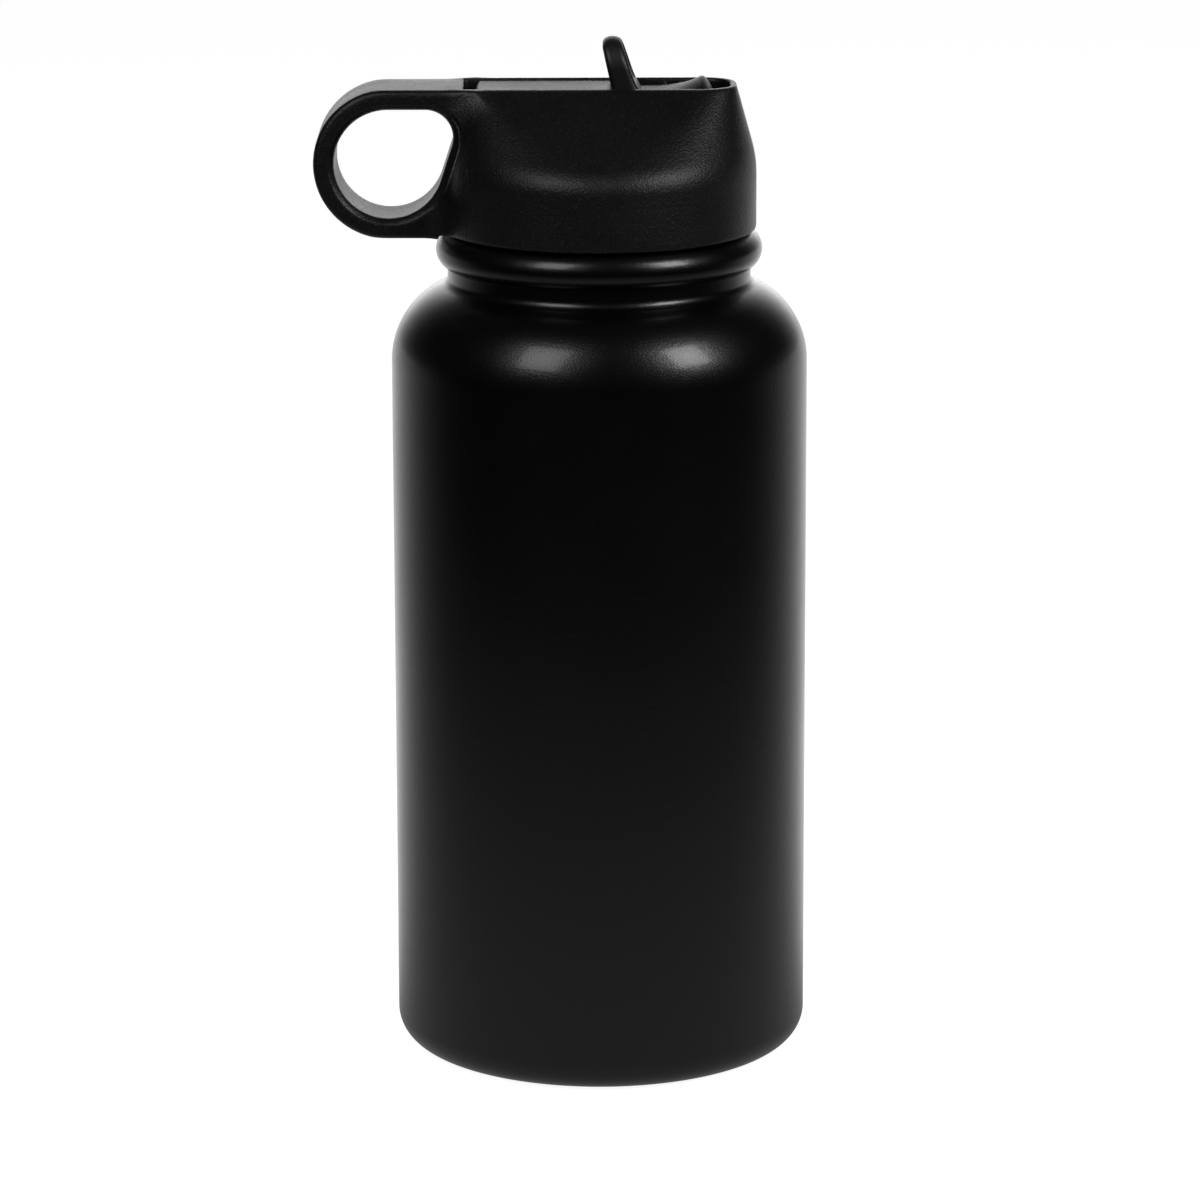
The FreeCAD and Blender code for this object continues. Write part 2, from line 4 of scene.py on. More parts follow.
import bpy
import numpy as np
from mathutils import Euler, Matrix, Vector


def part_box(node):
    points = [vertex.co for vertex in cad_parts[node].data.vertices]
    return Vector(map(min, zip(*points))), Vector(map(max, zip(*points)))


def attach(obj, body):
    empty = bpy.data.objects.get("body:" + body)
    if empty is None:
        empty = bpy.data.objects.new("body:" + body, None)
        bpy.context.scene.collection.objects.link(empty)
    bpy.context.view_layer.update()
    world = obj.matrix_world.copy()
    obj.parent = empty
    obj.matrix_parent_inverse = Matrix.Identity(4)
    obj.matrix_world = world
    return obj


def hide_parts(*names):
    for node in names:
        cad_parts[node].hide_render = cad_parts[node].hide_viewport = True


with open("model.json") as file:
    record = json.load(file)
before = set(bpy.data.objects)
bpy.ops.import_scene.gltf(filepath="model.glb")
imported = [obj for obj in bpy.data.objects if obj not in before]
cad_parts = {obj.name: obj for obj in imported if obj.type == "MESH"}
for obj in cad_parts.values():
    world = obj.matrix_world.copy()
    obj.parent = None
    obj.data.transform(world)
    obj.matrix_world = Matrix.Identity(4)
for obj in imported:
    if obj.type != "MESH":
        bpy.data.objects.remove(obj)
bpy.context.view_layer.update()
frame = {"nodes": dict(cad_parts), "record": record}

# Vacuum bottle with a flip-spout lid. Shapes are worked out in millimetres (Z up the
# bottle's axis, finger loop to -X, front to -Y) and written to the meshes in metres.
MM = 0.001


def box_mm(node):
    """Lowest and highest corner of a CAD node, in millimetres."""
    low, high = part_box(node)
    return np.array(low) / MM, np.array(high) / MM


def joint_place(name):
    """A hinge's position in millimetres."""
    for joint in frame["record"]["behaviour"]["joints"]:
        if joint["name"] == name:
            return np.array(joint["pos_m"]) / MM
    raise ValueError(name)


# ---- sizes read from the frame ----
shell_high = box_mm("outer_shell")[1]
lid_low, lid_high = box_mm("lid_shell")
core_low, core_high = box_mm("lid_core")
arm_low, arm_high = box_mm("spout_arm")
mouth_low, mouth_high = box_mm("mouthpiece")
plate_low = box_mm("outer_base")[0]
seal_high = box_mm("hub_seal")[1]
pivot = joint_place("spout_flip")

body_radius = shell_high[0]
neck_top = shell_high[2]
lid_radius = lid_high[0]
rim_z = lid_high[2]
loop_radius = (rim_z - lid_low[2]) / 2
loop_x = lid_low[0] + loop_radius
loop_z = rim_z - loop_radius
sleeve_bottom = core_low[2]
sleeve_radius = core_high[0]
arm_half = mouth_high[1]
bar_top = arm_high[2]
tip_end = mouth_high[0]
tab_crest = mouth_high[2]
hub_radius = pivot[2] - arm_low[2]

# ---- sizes of the bottle ----
shell_wall = 0.6
base_fillet = 7.0
foot_width = 4.0
foot_corner = 1.2
shoulder_radius = 18.0
straight_top = 154.8
neck_step = 1.2
neck_fillet = 2.0
bead_round = 4.3
bead_depth = 1.8
bead_rise = 6.1
neck_root = 29.9
thread_depth = 1.2
thread_pitch = 4.0
thread_turns = 1.5
thread_crest = 0.9
thread_base = 2.0
thread_start = 3.2            # above the sleeve's bottom
thread_fade = 0.25            # radians of turn at each end

# ---- sizes of the lid ----
skirt_height = 15.2           # above the sleeve's bottom
skirt_gap = 0.2               # the skirt reaches this far below the sleeve
skirt_depth = 1.2             # the moulding's inside lies this far within the sleeve
edge_soft = 0.4               # rounding of the crease where the wall stands upright
crease_soft = 3.0             # added to it where the wall leans by full_lean or more
full_lean = 1.5
foot_soft = 0.7
rim_half_width = 9.75
rim_half_length = lid_radius - 4.5
rim_corner = 7.0
rim_soft = 0.5
loop_root = 2.0               # the loop's slab reaches this far past the channel's end
loop_blend = 5.0
loop_soft = 1.6
hole_radius = 11.8
hole_corner = 6.0
hole_run = 8.0
hole_bevel = 1.2
hole_soft = 0.5
bead_room = 0.4
channel_half = 8.1
channel_left = -(lid_radius - 5.0)
channel_right = lid_radius - 5.8
channel_corner = 6.0
square_corner = 0.8           # the channel's corners at the loop's end
channel_floor = rim_z - 11.3
well_end = pivot[0] + 7.6
well_floor = arm_low[2] - 0.5
boss_clear = 0.4
trunnion_radius = 2.4
trunnion_fit = 0.05
wall_outside = 9.6
overrun = 1.0                 # a hole is cut this far past the floor it opens
vent_place = 19.0
vent_radius = 1.5
rib_place = 14.4
rib_radius = 0.5
rib_flat = 0.6                # depth of a rib over its width
rib_drop = 0.6                # its top lies this far below the rim
lid_cell = 0.56

# ---- sizes of the spout ----
bore_radius = 2.4
spigot_radius = 3.2
spigot_end = arm_high[0]
bar_end = tip_end - 22.4
bar_corner = 2.4
bar_soft = 0.7
end_soft = 0.4                # edges of the trunnions and the bore
swing_radius = 8.5
arm_bottom = channel_floor + 0.4
saddle_z = rim_z - 1.0
hump_x = tip_end - 3.2
hump_z = rim_z + 1.35
saddle_x = tip_end - 13.5
saddle_radius = 22.0
fall_slope = 1.5
crown_least = 0.4             # how far the top drops to its sides, before the hump
crown_rise = 1.5              # and how much more past it
spigot_overlap = 1.0          # the spigot starts this far inside the bar
tip_corner = 5.0
sharp_corner = 0.1            # for an end of the plan that another field cuts off
tab_foot = 2.65               # half the tab's thickness at its foot
tab_head = 2.2                # and at its crest
tab_half = 7.0                # half its width
tab_root = 1.3                # its foot circle lies this far below the rim
flare_reach = 0.8
flare_height = 1.1
tab_trim = 0.35               # what the outline's rounding takes off its crest
tab_edge = 1.5                # rounding of its outline
panel_inset = 1.5
panel_depth = 0.4
panel_soft = 0.3
panel_foot = 0.8              # the panel ends this far above the rim
spout_cell = 0.34
tab_cell = 0.24


# ---- camera ----
camera_place = (0.0, -1.2, 0.3904)
camera_lens = 167.1
camera_pitch = 13.6           # degrees downwards
camera_roll = -0.15           # degrees about its own axis


def make_camera():
    """Camera in front of the bottle, looking down at it by a fixed pitch."""
    data = bpy.data.cameras.new("camera")
    data.sensor_width = 36.0
    data.lens = camera_lens
    data.clip_start = 0.05
    data.clip_end = 50.0
    camera = bpy.data.objects.new("camera", data)
    camera.location = camera_place
    tilt = Euler((math.radians(90 - camera_pitch), 0.0, 0.0)).to_matrix()
    roll = Euler((0.0, 0.0, math.radians(camera_roll))).to_matrix()
    camera.rotation_euler = (tilt @ roll).to_euler()
    bpy.context.collection.objects.link(camera)
    bpy.context.scene.camera = camera


make_camera()


# ---- making meshes from arrays ----
def make_object(name, points, quads, body, node=None, sharp=40, caps=()):
    """Mesh object from an array of points in millimetres, an array of quads and end caps."""
    mesh = bpy.data.meshes.new(name)
    mesh.from_pydata((points * MM).tolist(), [], quads.tolist() + list(caps))
    mesh.update()
    mesh.polygons.foreach_set("use_smooth", np.ones(len(mesh.polygons), dtype=bool))
    mesh.set_sharp_from_angle(angle=math.radians(sharp))
    piece = bpy.data.objects.new(name, mesh)
    bpy.context.collection.objects.link(piece)
    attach(piece, body)
    if node:
        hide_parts(node)
    return piece


def grid_quads(rows, columns, wrap_rows, wrap_columns, start=0):
    """Quads between neighbouring points of a grid, joined round where it wraps."""
    i = np.arange(rows if wrap_rows else rows - 1)[:, None]
    j = np.arange(columns if wrap_columns else columns - 1)[None, :]
    i_next = (i + 1) % rows
    j_next = (j + 1) % columns
    corners = [i * columns + j, i * columns + j_next, i_next * columns + j_next,
               i_next * columns + j]
    return np.stack([c.ravel() for c in np.broadcast_arrays(*corners)], axis=1) + start


def walk(items, step=0.35):
    """Points (x, z) along corners (x, z) and arcs (x, z, radius, from, to), arcs cut evenly."""
    runs = []
    for item in items:
        if len(item) == 2:
            runs.append(np.array([item], dtype=float))
            continue
        x, z, radius, start, stop = item
        length = abs(radius * math.radians(stop - start))
        turn = np.radians(np.linspace(start, stop, max(6, int(length / step))))
        runs.append(np.stack([x + radius * np.cos(turn), z + radius * np.sin(turn)], axis=1))
    points = np.concatenate(runs)
    apart = np.hypot(*(points - np.roll(points, 1, axis=0)).T) > 1e-4
    return points[apart]


def turned(profile, segments=288):
    """Closed profile (r, z) carried round the axis: (r cos a, r sin a, z) for each angle a."""
    turn = np.arange(segments) * 2 * np.pi / segments
    r = profile[:, 0][:, None]
    z = np.repeat(profile[:, 1][:, None], segments, axis=1)
    points = np.stack([r * np.cos(turn), r * np.sin(turn), z], axis=2).reshape(-1, 3)
    return points, grid_quads(len(profile), segments, True, True)


def ridge(base, crest, bottom, steps=220):
    """Thread: a four-cornered section carried up a helix, fading to nothing at both ends."""
    turn = np.linspace(0, 2 * np.pi * thread_turns, steps)
    fade = np.clip(np.minimum(turn, turn[-1] - turn) / thread_fade, 0.02, 1)
    height = crest - base
    root = np.full(steps, -0.2)
    radii = np.stack([root, height * fade, height * fade, root], axis=1)
    half = np.array([-thread_base, -thread_crest, thread_crest, thread_base]) / 2
    z = bottom + thread_pitch * turn[:, None] / (2 * np.pi) + half[None, :]
    r = base + radii
    points = np.stack([r * np.cos(turn)[:, None], r * np.sin(turn)[:, None], z], axis=2)
    quads = grid_quads(steps, 4, False, True)[:, ::-1]
    caps = np.array([[0, 1, 2, 3], [4 * steps - 1, 4 * steps - 2, 4 * steps - 3, 4 * steps - 4]])
    return points.reshape(-1, 3), np.concatenate([quads, caps])


# ---- fields: a solid is where its field is below zero, in millimetres ----
def blend_max(a, b, soft):
    """Larger of two fields, its corner rounded: the mix of both plus soft h (1 - h)."""
    h = np.clip(0.5 + 0.5 * (a - b) / soft, 0, 1)
    return b + (a - b) * h + soft * h * (1 - h)


def blend_min(a, b, soft):
    """Smaller of two fields, with a fillet between them."""
    return -blend_max(-a, -b, soft)


def box_field(u, v, half_u, half_v, corner=0.0):
    """Distance to a rectangle about the origin with one corner radius."""
    du = np.abs(u) - half_u + corner
    dv = np.abs(v) - half_v + corner
    outside = np.hypot(np.maximum(du, 0), np.maximum(dv, 0))
    return outside + np.minimum(np.maximum(du, dv), 0) - corner


def span_field(u, low, high):
    """Distance to a slab between two values of one coordinate."""
    return np.abs(u - (low + high) / 2) - (high - low) / 2


def pair_field(u, v, first, run, second):
    """Distance to the hull of two circles: radius first at the origin, second at run."""
    length = math.hypot(*run)
    along = (u * run[0] + v * run[1]) / length
    across = np.abs(v * run[0] - u * run[1]) / length
    b = (first - second) / length
    a = math.sqrt(1 - b * b)
    k = a * along - b * across
    middle = a * across + b * along - first
    near = np.hypot(across, along) - first
    far = np.hypot(across, along - length) - second
    return np.where(k < 0, near, np.where(k > a * length, far, middle))


def skin(field, low, high, cell):
    """Surface where a field is zero, on a grid of cells.

    Each cell that the surface passes gets one point, the mean of the crossings on its
    edges, which then moves along the field's slope until the field is zero there.
    Each grid edge that crosses the surface gets the quad of its four cells. The grid
    reaches a cell past the given box, and the solid ends before that, so the skin closes.
    """
    axes = [np.arange(a - cell, b + 2 * cell, cell) for a, b in zip(low, high)]
    value = field(*np.meshgrid(*axes, indexing="ij"))
    inside = value < 0
    shape = tuple(n - 1 for n in value.shape)
    total = np.zeros(shape + (3,))
    count = np.zeros(shape)
    crossings = []
    for axis in range(3):
        first = [slice(None)] * 3
        second = [slice(None)] * 3
        first[axis] = slice(0, -1)
        second[axis] = slice(1, None)
        f0 = value[tuple(first)]
        f1 = value[tuple(second)]
        crossed = inside[tuple(first)] != inside[tuple(second)]
        part = np.where(crossed, f0 / np.where(crossed, f0 - f1, 1), 0)
        crossings.append((crossed, inside[tuple(first)]))
        others = [n for n in range(3) if n != axis]
        for du in (0, 1):
            for dv in (0, 1):
                pick = [slice(None)] * 3
                pick[others[0]] = slice(du, shape[others[0]] + du)
                pick[others[1]] = slice(dv, shape[others[1]] + dv)
                hit = crossed[tuple(pick)]
                count += hit
                total[..., axis] += np.where(hit, part[tuple(pick)], 0)
                total[..., others[0]] += du * hit
                total[..., others[1]] += dv * hit
    active = count > 0
    number = np.cumsum(active.ravel()).reshape(shape) - 1
    corner = np.stack(np.nonzero(active), axis=1)
    origin = np.array([a[0] for a in axes])
    points = origin + cell * (corner + total[active] / count[active][:, None])
    points = settle(points, field, cell)
    quads = []
    for axis, (crossed, start_inside) in enumerate(crossings):
        b, c = [(1, 2), (2, 0), (0, 1)][axis]
        place = np.stack(np.nonzero(crossed), axis=1)
        place = place[(place[:, b] > 0) & (place[:, c] > 0)]
        place = place[(place[:, b] < shape[b]) & (place[:, c] < shape[c])]
        ring = []
        for db, dc in ((1, 1), (0, 1), (0, 0), (1, 0)):
            spot = place.copy()
            spot[:, b] -= db
            spot[:, c] -= dc
            ring.append(number[tuple(spot.T)])
        face = np.stack(ring, axis=1)
        turned_round = ~start_inside[tuple(place.T)]
        face[turned_round] = face[turned_round][:, ::-1]
        quads.append(face)
    return points, np.concatenate(quads)


def settle(points, field, cell):
    """Moves points along the field's slope, by the field over the slope squared, to its zero."""
    step = 0.02 * cell
    for _ in range(4):
        value = field(*points.T)
        slope = []
        for axis in range(3):
            shift = np.zeros(3)
            shift[axis] = step
            ahead = field(*(points + shift).T)
            behind = field(*(points - shift).T)
            slope.append((ahead - behind) / (2 * step))
        slope = np.stack(slope, axis=1)
        size = np.maximum((slope ** 2).sum(axis=1), 0.05)
        move = (value / size)[:, None] * slope
        longest = np.abs(move).max(axis=1, keepdims=True)
        points = points - move * np.minimum(1, 0.4 * cell / np.maximum(longest, 1e-9))
    return points


# ---- bottle ----
def shell_side(inset):
    """Outside of the steel shell from the foot recess to the neck, set in by a distance."""
    centre = body_radius - shoulder_radius
    neck_radius = lid_radius - neck_step
    reach = neck_radius + neck_fillet - centre
    rise = math.sqrt((shoulder_radius + neck_fillet) ** 2 - reach ** 2)
    join = math.degrees(math.atan2(rise, reach))
    bead = bead_round - inset
    bead_x = neck_radius - bead_depth
    low = math.degrees(math.acos((neck_radius - inset - bead_x) / bead))
    high = math.degrees(math.acos((neck_root - inset - bead_x) / bead))
    foot = body_radius - base_fillet
    recess = foot - foot_width
    return [
        (recess + inset, plate_low[2] + shell_wall),
        (recess + foot_corner, foot_corner, foot_corner - inset, 180, 270),
        (foot, base_fillet, base_fillet - inset, 270, 360),
        (centre, straight_top, shoulder_radius - inset, 0, join),
        (neck_radius + neck_fillet, straight_top + rise, neck_fillet + inset, 180 + join, 180),
        (bead_x, straight_top + rise + bead_rise, bead, -low, high),
        (neck_root - inset, neck_top),
    ]


def backwards(items):
    """The same corners and arcs, walked from the other end."""
    return [item[:3] + (item[4], item[3]) if len(item) == 5 else item for item in reversed(items)]


def make_bottle_shell():
    """Steel shell: its two sides as one closed profile turned round the axis, and the thread."""
    points, quads = turned(walk(shell_side(0) + backwards(shell_side(shell_wall))))
    ridge_points, ridge_quads = ridge(
        neck_root, neck_root + thread_depth, sleeve_bottom + thread_start)
    quads = np.concatenate([quads, ridge_quads + len(points)])
    points = np.concatenate([points, ridge_points])
    return make_object("bottle_shell", points, quads, "bottle", "outer_shell")


# ---- lid ----
crease_z = sleeve_bottom + skirt_height
skirt_bottom = sleeve_bottom - skirt_gap


def wedge_field(x, y, z):
    """Round skirt that narrows to the rim.

    At each height the section is a rectangle grown by a radius. From the crease to the rim
    the rectangle grows from nothing and the radius shrinks, both in straight lines, which
    run on below the crease. Also gives the lean of the wall, sideways over upwards.
    """
    height = rim_z - crease_z
    rise = (z - crease_z) / height
    long_side = rim_half_length - rim_corner
    short_side = rim_half_width - rim_corner
    shrink = lid_radius - rim_corner
    du = np.abs(x) - rise * long_side
    dv = np.abs(y) - rise * short_side
    out_u = np.maximum(du, 0)
    out_v = np.maximum(dv, 0)
    reach = np.hypot(out_u, out_v)
    safe = np.maximum(reach, 1e-6)
    lean = (shrink - long_side * out_u / safe - short_side * out_v / safe) / height
    flat = reach + np.minimum(np.maximum(du, dv), 0) - (lid_radius - shrink * rise)
    return flat / np.sqrt(1 + lean ** 2), lean


def hole_field(x, z):
    """Finger hole: the hull of a large circle and a small one at its upper corner."""
    run = (hole_run, hole_radius - hole_corner)
    return pair_field(x - loop_x, z - loop_z, hole_radius, run, hole_corner)


def loop_field(x, y, z):
    """Finger loop without its hole: a slab with a half-round end and round edges."""
    side = np.where(x < loop_x, np.hypot(x - loop_x, z - loop_z), np.abs(z - loop_z))
    plate = blend_max(side - loop_radius, np.abs(y) - rim_half_width, loop_soft)
    return np.maximum(plate, x - channel_left - loop_root)


def channel_field(x, y, z):
    """Lane for the spout, square at the loop's end and round at the mouth, with a deeper well."""
    middle = (channel_left + channel_right) / 2
    half = (channel_right - channel_left) / 2
    corner = np.where(x > middle, channel_corner, square_corner)
    plan = box_field(x - middle, y, half, channel_half, corner)
    lane = np.maximum(plan, channel_floor - z)
    well = np.maximum(np.maximum(plan, x - well_end), well_floor - z)
    return np.minimum(lane, well)


def lid_field(x, y, z):
    """Lid moulding: skirt and wedge blended into the loop, with every hollow cut away.

    The hollows are the finger hole with its bevel, the spout's channel, room for the
    shell's bead, the bore over the sleeve, and holes for the hub seal, trunnions and vent.
    """
    round_part = np.hypot(x, y)
    wedge, lean = wedge_field(x, y, z)
    soft = edge_soft + crease_soft * np.clip(lean, 0, full_lean) / full_lean
    form = blend_max(round_part - lid_radius, wedge, soft)
    form = blend_max(form, skirt_bottom - z, foot_soft)
    form = blend_min(form, loop_field(x, y, z), loop_blend)
    form = blend_max(form, lid_low[2] - z, foot_soft)
    hole = hole_field(x, z)
    bevel = np.minimum(np.abs(y) - rim_half_width, 0.4) + hole_bevel - hole
    form = np.maximum(form, bevel * math.sqrt(0.5))
    form = blend_max(form, -hole, hole_soft)
    form = blend_max(form, z - rim_z, rim_soft)
    form = blend_max(form, -channel_field(x, y, z), rim_soft)
    bead = lid_radius - neck_step - bead_depth + bead_round + bead_room
    form = np.maximum(form, -np.maximum(round_part - bead, z - skirt_bottom))
    bore = sleeve_radius - skirt_depth
    form = blend_max(form, -np.maximum(round_part - bore, z - crease_z), rim_soft)
    boss = np.hypot(x - pivot[0], y) - seal_high[1] - boss_clear
    form = np.maximum(form, -np.maximum(boss, z - well_floor - overrun))
    socket = np.hypot(x - pivot[0], z - pivot[2]) - trunnion_radius - trunnion_fit
    form = np.maximum(form, -np.maximum(socket, np.abs(y) - wall_outside))
    vent = np.hypot(x - vent_place, y) - vent_radius
    return np.maximum(form, -np.maximum(vent, z - channel_floor - overrun))


def make_lid_shell():
    """Lid moulding as one skin."""
    points, quads = skin(lid_field, lid_low, lid_high, lid_cell)
    return make_object("lid_moulding", points, quads, "lid", "lid_shell", 50)


def make_detent_ribs():
    """Two small upright ribs on the channel's walls: half-round bars, rounded at the top."""
    low, high = pivot[2], rim_z - rib_drop
    rows, columns = 12, 24
    caps = [list(range(columns))[::-1], list(range((rows - 1) * columns, rows * columns))]
    pieces = []
    for side, name in ((-1, "detent_rib_front"), (1, "detent_rib_back")):
        turn = np.linspace(0, 2 * np.pi, columns, endpoint=False)
        height = np.linspace(0, 1, rows)[:, None]
        radius = rib_radius * np.sqrt(np.clip(1 - np.clip(height - 0.9, 0, 1) ** 2 * 90, 0.02, 1))
        x = rib_place + radius * np.cos(turn)
        y = side * channel_half + rib_flat * radius * np.sin(turn)
        z = low + (high - low) * height + 0 * turn
        points = np.stack([x, y, z], axis=2).reshape(-1, 3)
        quads = grid_quads(rows, columns, False, True)
        pieces.append(make_object(name, points, quads, "lid", None, caps=caps))
    return pieces


# ---- spout ----
def spout_plan(x, y, right, left_corner, right_corner):
    """Plan of the spout from the hub's end to a given right end, with its own corner radii."""
    left = pivot[0] - hub_radius
    middle = (left + right) / 2
    corner = np.where(x > middle, right_corner, left_corner)
    return box_field(x - middle, y, (right - left) / 2, arm_half, corner)


def arm_field(x, y, z):
    """Hard bar: hub, swing-rounded end and straight bar, with trunnions, spigot and bore.

    From the side it joins the hub's circle, the swing's circle and a slab, cut to its
    rounded plan. Round bars along Y and X add the trunnions and the spigot, and a round
    bar along X takes the bore away.
    """
    from_pivot = np.hypot(x - pivot[0], z - pivot[2])
    hub = from_pivot - hub_radius
    bar = np.maximum(span_field(z, arm_bottom, bar_top), pivot[0] - x)
    end = np.maximum(from_pivot - swing_radius, np.maximum(z - bar_top, pivot[2] - z))
    side = np.minimum(np.minimum(bar, end), hub)
    side = blend_max(side, x - bar_end, bar_soft)
    plan = spout_plan(x, y, bar_end + 20, bar_corner, sharp_corner)
    arm = blend_max(side, plan, bar_soft)
    from_bore = np.hypot(y, z - pivot[2])
    trunnion = blend_max(from_pivot - trunnion_radius, np.abs(y) - arm_high[1], end_soft)
    spigot_span = span_field(x, bar_end - spigot_overlap, spigot_end)
    spigot = np.maximum(from_bore - spigot_radius, spigot_span)
    arm = np.minimum(np.minimum(arm, trunnion), spigot)
    return blend_max(arm, bore_radius - from_bore, end_soft)


def mouth_field(x, y, z):
    """Soft mouth: its top follows a saddle arc up to a hump and falls straight to the tip.

    Across the spout the top drops with the square of y, most at the hump. A pocket takes
    the bar's spigot, and the bore runs through.
    """
    past = np.maximum(x - saddle_x, 0)
    saddle = saddle_z + saddle_radius - np.sqrt(np.maximum(saddle_radius ** 2 - past ** 2, 1))
    fall = hump_z + 0.5 - fall_slope * (x - hump_x - 0.5)
    crown = crown_least + crown_rise / (1 + np.exp(-(x - hump_x + 3.5) / 1.3))
    top = blend_min(saddle, fall, 1.6) - crown * (y / arm_half) ** 2
    body = blend_max(z - top, span_field(x, bar_end, tip_end), 1.2)
    body = blend_max(body, spout_plan(x, y, tip_end, sharp_corner, tip_corner), 1.4)
    body = blend_max(body, arm_bottom - z, 1.0)
    from_bore = np.hypot(y, z - pivot[2])
    pocket = np.maximum(from_bore - spigot_radius, x - spigot_end)
    body = np.maximum(body, -pocket)
    return blend_max(body, bore_radius - from_bore, 0.6)


def tab_field(x, y, z):
    """Thumb tab: a leaning wedge with a round crest, and a shallow panel in its right face.

    From the side it is the hull of a foot circle and a head circle, and its foot flares
    to the right with an exponential of height. From the front it is a half-round arch.
    """
    foot = (bar_end + tab_foot, rim_z - tab_root)
    head = (bar_end - 0.05, tab_crest - tab_head + tab_trim)
    run = (head[0] - foot[0], head[1] - foot[1])
    blade = pair_field(x - foot[0], z - foot[1], tab_foot, run, tab_head)
    flare = np.exp(-np.maximum(z - saddle_z, 0) / flare_height) * flare_reach
    blade = blade - np.where(x > foot[0], flare, 0)
    centre = tab_crest - tab_half + tab_trim
    face = np.where(z > centre, np.hypot(y, z - centre), np.abs(y)) - tab_half
    tab = blend_max(blade, face, tab_edge)
    length = math.hypot(*run)
    across = ((x - foot[0]) * run[1] - (z - foot[1]) * run[0]) / length
    panel = np.maximum(np.maximum(face + panel_inset, -blade - panel_depth), 0.5 - across)
    tab = blend_max(tab, -np.maximum(panel, rim_z + panel_foot - z), panel_soft)
    return np.maximum(tab, saddle_z - 0.8 - z)


def make_spout():
    """Bar, mouthpiece and thumb tab."""
    points, quads = skin(arm_field, arm_low, arm_high, spout_cell)
    bar = make_object("spout_bar", points, quads, "spout", "spout_arm", 50)
    low = (bar_end, mouth_low[1], arm_bottom)
    high = (mouth_high[0], mouth_high[1], rim_z + 3)
    points, quads = skin(mouth_field, low, high, spout_cell)
    mouth = make_object("soft_mouth", points, quads, "spout", "mouthpiece", 50)
    low = (mouth_low[0], -tab_half - 0.2, saddle_z - 1)
    high = (11, tab_half + 0.2, tab_crest)
    points, quads = skin(tab_field, low, high, tab_cell)
    tab = make_object("thumb_tab", points, quads, "spout", None, 50)
    return bar, mouth, tab


# ---- materials ----
def socket(group, name, way, kind, value=None):
    """Adds one input or output to a node group."""
    made = group.interface.new_socket(name=name, in_out=way, socket_type=kind)
    if value is not None:
        made.default_value = value
    return made


class Tree:
    """Short way to write a node tree."""

    def __init__(self, tree):
        self.tree = tree

    def add(self, kind, inputs=None, **settings):
        """Makes a node, sets its properties, and sets or links its inputs."""
        node = self.tree.nodes.new(kind)
        for key, value in settings.items():
            setattr(node, key, value)
        for key, value in (inputs or {}).items():
            if isinstance(value, bpy.types.NodeSocket):
                self.tree.links.new(value, node.inputs[key])
            else:
                node.inputs[key].default_value = value
        return node

    def math(self, operation, a, b=0.0, clamp=False):
        """Output of a Math node."""
        return self.add("ShaderNodeMath", {0: a, 1: b}, operation=operation,
                        use_clamp=clamp).outputs[0]

    def spread(self, value, low, high, to_low=0.0, to_high=1.0):
        """Output of a smooth Map Range node."""
        return self.add("ShaderNodeMapRange", {
            "Value": value, "From Min": low, "From Max": high,
            "To Min": to_low, "To Max": to_high}, interpolation_type="SMOOTHSTEP").outputs[0]

    def mix(self, factor, a, b):
        """Colour output of a Mix node."""
        return self.add("ShaderNodeMix", {0: factor, 6: a, 7: b}, data_type="RGBA").outputs[2]


def grain_group():
    """Fine surface grain: pits and bumps of one size, and a mask of brighter specks."""
    group = bpy.data.node_groups.new("surface_grain", "ShaderNodeTree")
    socket(group, "Vector", "INPUT", "NodeSocketVector")
    socket(group, "Grains per metre", "INPUT", "NodeSocketFloat", 1500.0)
    socket(group, "Coarse share", "INPUT", "NodeSocketFloat", 0.3)
    socket(group, "Height", "OUTPUT", "NodeSocketFloat")
    socket(group, "Specks", "OUTPUT", "NodeSocketFloat")
    tree = Tree(group)
    given = tree.add("NodeGroupInput")
    fine = tree.add("ShaderNodeTexNoise", {
        "Vector": given.outputs[0], "Scale": given.outputs[1], "Detail": 2.0, "Roughness": 0.6})
    broad_scale = tree.math("MULTIPLY", given.outputs[1], 0.17)
    broad = tree.add("ShaderNodeTexNoise", {
        "Vector": given.outputs[0], "Scale": broad_scale, "Detail": 1.0})
    cells = tree.add("ShaderNodeTexVoronoi", {
        "Vector": given.outputs[0], "Scale": given.outputs[1]}, feature="F1")
    coarse = tree.math("MULTIPLY", broad.outputs[0], given.outputs[2])
    pits = tree.math("MULTIPLY", cells.outputs["Distance"], 0.35)
    height = tree.math("ADD", tree.math("ADD", fine.outputs[0], coarse), pits)
    specks = tree.spread(fine.outputs[0], 0.52, 0.72)
    out = tree.add("NodeGroupOutput")
    group.links.new(height, out.inputs[0])
    group.links.new(specks, out.inputs[1])
    return group


